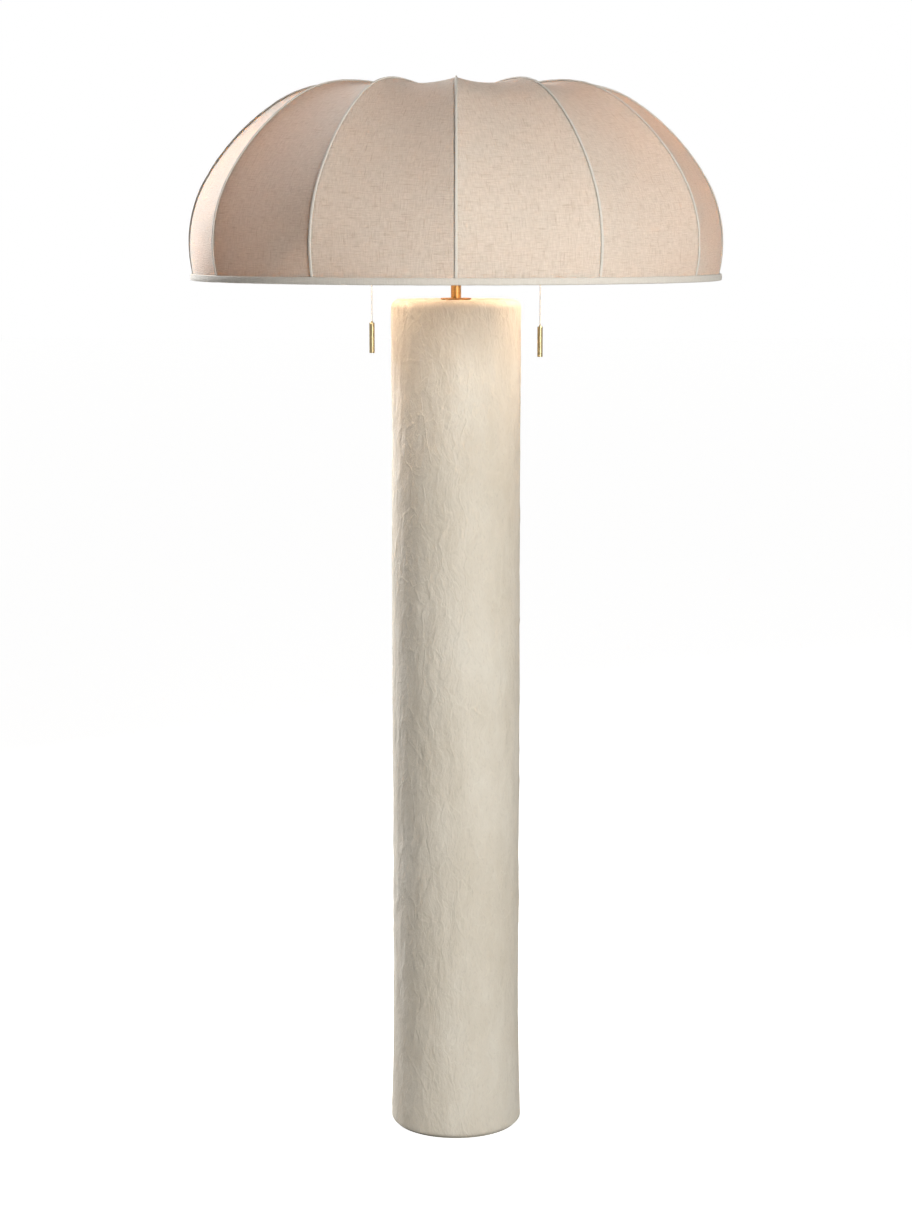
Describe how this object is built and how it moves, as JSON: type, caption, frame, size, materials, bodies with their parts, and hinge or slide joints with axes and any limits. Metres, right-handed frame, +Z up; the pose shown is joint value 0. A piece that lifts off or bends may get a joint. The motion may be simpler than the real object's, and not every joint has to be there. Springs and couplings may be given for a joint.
{
  "type": "floor lamp",
  "caption": "Floor lamp with a ribbed linen dome shade on a papier-mache column, with pull-chain sockets under the shade.",
  "frame": {"origin": "on the floor at the middle of the column's foot", "axes": "+Z up along the column, -Y towards the viewer, +X to the viewer's right"},
  "size_m": [0.8198, 0.8198, 1.6371],
  "materials": {
    "felt": "dense felt, matt",
    "cast_iron": "rough cast, unpainted",
    "tube_board": "spiral-wound board, matt",
    "papier_mache": "hand-laid papier-mache, sealed, matt cream",
    "plywood": "sawn plywood, unfinished",
    "grommet_rubber": "moulded rubber, cream",
    "zinc_steel": "zinc-plated steel",
    "satin_brass": "satin brushed brass",
    "antique_brass": "antique brass, lightly dulled",
    "lead_insulation": "smooth insulation",
    "linen": "plain-weave slub linen, natural, translucent",
    "white_wire": "white powder-coated wire",
    "bias_tape": "folded linen bias tape, off-white",
    "fibre_liner": "pressed insulating fibre",
    "phenolic": "moulded phenolic, black",
    "nickel": "nickel plated",
    "contact_brass": "plain spring brass",
    "frosted_glass": "frosted glass",
    "bulb_aluminium": "rolled aluminium thread"
  },
  "bodies": {
    "stand": {"arm_left": "satin_brass", "arm_right": "satin_brass", "base_nut": "zinc_steel", "base_washer": "zinc_steel", "base_weight": "cast_iron", "bell_mouth_left": "satin_brass", "bell_mouth_right": "satin_brass", "centre_contact_left": "contact_brass", "centre_contact_right": "contact_brass", "check_ring": "satin_brass", "cluster_body": "satin_brass", "cluster_cover": "satin_brass", "column_skin": "papier_mache", "cord_grommet": "grommet_rubber", "core_tube": "tube_board", "felt_pad": "felt", "neck": "satin_brass", "pipe_nut": "zinc_steel", "riser_nuts": "zinc_steel", "riser_rod": "zinc_steel", "screw_shell_left": "nickel", "screw_shell_right": "nickel", "shade_rest": "satin_brass", "socket_block_left": "phenolic", "socket_block_right": "phenolic", "socket_cap_left": "satin_brass", "socket_cap_right": "satin_brass", "socket_leads": "lead_insulation", "socket_liner_left": "fibre_liner", "socket_liner_right": "fibre_liner", "socket_shell_left": "satin_brass", "socket_shell_right": "satin_brass", "tie_pipe": "zinc_steel", "top_plug": "plywood"},
    "shade": {"linen_panels": "linen", "shade_ribs": "white_wire", "rim_ring": "white_wire", "crown_ring": "white_wire", "seam_piping": "bias_tape", "rim_trim": "bias_tape", "crown_trim": "bias_tape", "spider_washer": "white_wire", "spider_arms": "white_wire"},
    "finial": {"finial": "satin_brass"},
    "bulb_left": {"bulb_glass_left": "frosted_glass", "bulb_screw_left": "bulb_aluminium", "bulb_tip_left": "contact_brass"},
    "switch_wheel_left": {"switch_wheel_left": "phenolic"},
    "switch_chain_left": {"switch_chain_left": "nickel"},
    "pull_left": {"pull_chain_left": "nickel", "pull_left": "antique_brass"},
    "bulb_right": {"bulb_glass_right": "frosted_glass", "bulb_screw_right": "bulb_aluminium", "bulb_tip_right": "contact_brass"},
    "switch_wheel_right": {"switch_wheel_right": "phenolic"},
    "switch_chain_right": {"switch_chain_right": "nickel"},
    "pull_right": {"pull_chain_right": "nickel", "pull_right": "antique_brass"}
  },
  "joints": [
    {"name": "shade_lift", "type": "slide", "parent": "stand", "child": "shade", "axis": [0, 0, 1], "range_m": [0, 0.3]},
    {"name": "finial_turn", "type": "hinge", "parent": "shade", "child": "finial", "pos_m": [0, 0, 1.59807], "axis": [0, 0, 1], "range_deg": [0, 1440]},
    {"name": "bulb_turn_left", "type": "hinge", "parent": "stand", "child": "bulb_left", "pos_m": [-0.1413, 0, 1.446], "axis": [-1, 0, 0], "range_deg": [0, 1440]},
    {"name": "pull_travel_left", "type": "slide", "parent": "stand", "child": "switch_chain_left", "axis": [0, 0, -1], "range_m": [0, 0.012], "stiffness_N_per_m": 500, "springref_m": -0.003},
    {"name": "pull_swing_left", "type": "hinge", "parent": "switch_chain_left", "child": "pull_left", "pos_m": [-0.1295, 0, 1.4136], "axis": [1, 0, 0], "range_deg": [-25, 25]},
    {"name": "switch_turn_left", "type": "hinge", "parent": "stand", "child": "switch_wheel_left", "pos_m": [-0.1215, 0, 1.446], "axis": [0, -1, 0], "range_deg": [0, 90]},
    {"name": "bulb_turn_right", "type": "hinge", "parent": "stand", "child": "bulb_right", "pos_m": [0.1413, 0, 1.446], "axis": [1, 0, 0], "range_deg": [0, 1440]},
    {"name": "pull_travel_right", "type": "slide", "parent": "stand", "child": "switch_chain_right", "axis": [0, 0, -1], "range_m": [0, 0.012], "stiffness_N_per_m": 500, "springref_m": -0.003},
    {"name": "pull_swing_right", "type": "hinge", "parent": "switch_chain_right", "child": "pull_right", "pos_m": [0.1295, 0, 1.4136], "axis": [1, 0, 0], "range_deg": [-25, 25]},
    {"name": "switch_turn_right", "type": "hinge", "parent": "stand", "child": "switch_wheel_right", "pos_m": [0.1215, 0, 1.446], "axis": [0, 1, 0], "range_deg": [0, 90]}
  ],
  "couplings": [
    {"joint": "switch_turn_left", "follows": "pull_travel_left", "rad_per_m": 125},
    {"joint": "switch_turn_right", "follows": "pull_travel_right", "rad_per_m": 125}
  ]
}
